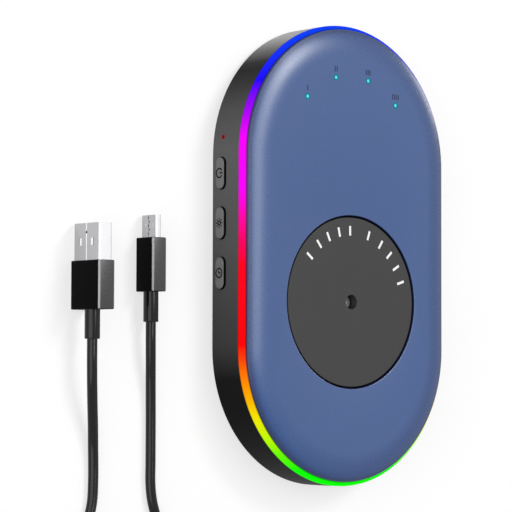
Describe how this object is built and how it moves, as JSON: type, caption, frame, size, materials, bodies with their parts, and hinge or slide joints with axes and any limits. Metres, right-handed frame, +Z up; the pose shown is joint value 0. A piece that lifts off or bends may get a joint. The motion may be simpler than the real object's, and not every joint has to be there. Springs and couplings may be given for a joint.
{
  "type": "mouse jiggler",
  "caption": "Slim stadium-shaped desk mouse mover with a powered turntable, light ring, side buttons, mode lights and a separate charging cable.",
  "frame": {"origin": "on the desk, under the middle of the case", "axes": "+X across the case, away from the buttons; +Y along the case, towards the mode lights; +Z up, out of the turntable"},
  "size_m": [0.1419, 0.2053, 0.0178],
  "materials": {
    "wall_black": "satin black moulded plastic",
    "cover_blue": "fine matte slate blue moulded plastic",
    "ring_light": "translucent diffuser, lit in rainbow colours",
    "disc_grey": "fine matte dark grey plastic",
    "button_grey": "fine textured grey plastic",
    "rubber": "matte black rubber",
    "steel": "plain zinc plated steel",
    "gear_nylon": "natural nylon",
    "brass": "turned brass",
    "frame_grey": "moulded plastic",
    "board_green": "solder mask on fibreglass",
    "chip_black": "moulded chip package",
    "led_white": "surface mount light",
    "lens_red": "clear red plastic",
    "pipe_clear": "clear plastic, lit cyan",
    "battery_foil": "laminated foil pouch",
    "foam": "foam tape",
    "wire": "insulated wire",
    "connector_white": "moulded connector",
    "plug_metal": "nickel plated sheet steel",
    "cable_black": "satin black flexible plastic",
    "strip": "flexible circuit"
  },
  "bodies": {
    "case": {"bottom_case": "wall_black", "rubber_feet": "rubber", "case_screws": "steel", "light_ring": "ring_light", "top_cover": "cover_blue", "motor": "steel", "motor_leads": "wire", "motor_connector": "connector_white", "gear_frame": "frame_grey", "gear_bridge": "frame_grey", "gear_axles": "steel", "gear_bridge_screws": "steel", "power_switch": "chip_black", "light_switch": "chip_black", "timer_switch": "chip_black", "main_board": "board_green", "board_screws": "steel", "controller_chip": "chip_black", "board_parts": "chip_black", "usb_socket": "plug_metal", "usb_socket_tongue": "chip_black", "charge_led": "led_white", "charge_light_lens": "lens_red", "mode_leds": "led_white", "mode_light_pipes": "pipe_clear", "ring_led_strip": "strip", "ring_leds": "led_white", "ring_led_leads": "wire", "battery": "battery_foil", "battery_pad": "foam", "battery_leads": "wire", "battery_connector": "connector_white", "usb_a_shell": "plug_metal", "usb_a_tongue": "connector_white", "usb_a_contacts": "brass", "usb_a_overmold": "cable_black", "usb_a_strain_relief": "cable_black", "usb_a_lead": "cable_black", "cable_coil": "cable_black", "cable_tie": "rubber", "micro_usb_lead": "cable_black", "micro_usb_strain_relief": "cable_black", "micro_usb_overmold": "cable_black", "micro_usb_shell": "plug_metal", "micro_usb_tongue": "chip_black"},
    "turntable": {"turntable_disc": "disc_grey", "turntable_screw": "steel", "output_gear": "gear_nylon"},
    "second_gear_body": {"second_gear": "gear_nylon"},
    "first_gear_body": {"first_gear": "gear_nylon"},
    "motor_rotor": {"motor_pinion": "brass", "motor_shaft": "steel"},
    "power_button_body": {"power_button": "button_grey", "power_switch_plunger": "connector_white"},
    "light_button_body": {"light_button": "button_grey", "light_switch_plunger": "connector_white"},
    "timer_button_body": {"timer_button": "button_grey", "timer_switch_plunger": "connector_white"}
  },
  "joints": [
    {"name": "turntable_spin", "type": "hinge", "parent": "case", "child": "turntable", "pos_m": [0, -0.01435, 0.005], "axis": [0, 0, 1], "continuous": true},
    {"name": "second_gear_spin", "type": "hinge", "parent": "case", "child": "second_gear_body", "pos_m": [0.01061, -0.02496, 0.005], "axis": [0, 0, 1], "continuous": true},
    {"name": "first_gear_spin", "type": "hinge", "parent": "case", "child": "first_gear_body", "pos_m": [0.00127, -0.03429, 0.005], "axis": [0, 0, 1], "continuous": true},
    {"name": "motor_spin", "type": "hinge", "parent": "case", "child": "motor_rotor", "pos_m": [0.00599, -0.04726, 0.005], "axis": [0, 0, 1], "continuous": true},
    {"name": "power_button_press", "type": "slide", "parent": "case", "child": "power_button_body", "axis": [1, 0, 0], "range_m": [0, 0.0004], "stiffness_N_per_m": 2500, "springref_m": -0.0001},
    {"name": "light_button_press", "type": "slide", "parent": "case", "child": "light_button_body", "axis": [1, 0, 0], "range_m": [0, 0.0004], "stiffness_N_per_m": 2500, "springref_m": -0.0001},
    {"name": "timer_button_press", "type": "slide", "parent": "case", "child": "timer_button_body", "axis": [1, 0, 0], "range_m": [0, 0.0004], "stiffness_N_per_m": 2500, "springref_m": -0.0001}
  ],
  "couplings": [
    {"joint": "second_gear_spin", "follows": "turntable_spin", "ratio": -4},
    {"joint": "first_gear_spin", "follows": "turntable_spin", "ratio": 13.6},
    {"joint": "motor_spin", "follows": "turntable_spin", "ratio": -48.96}
  ]
}
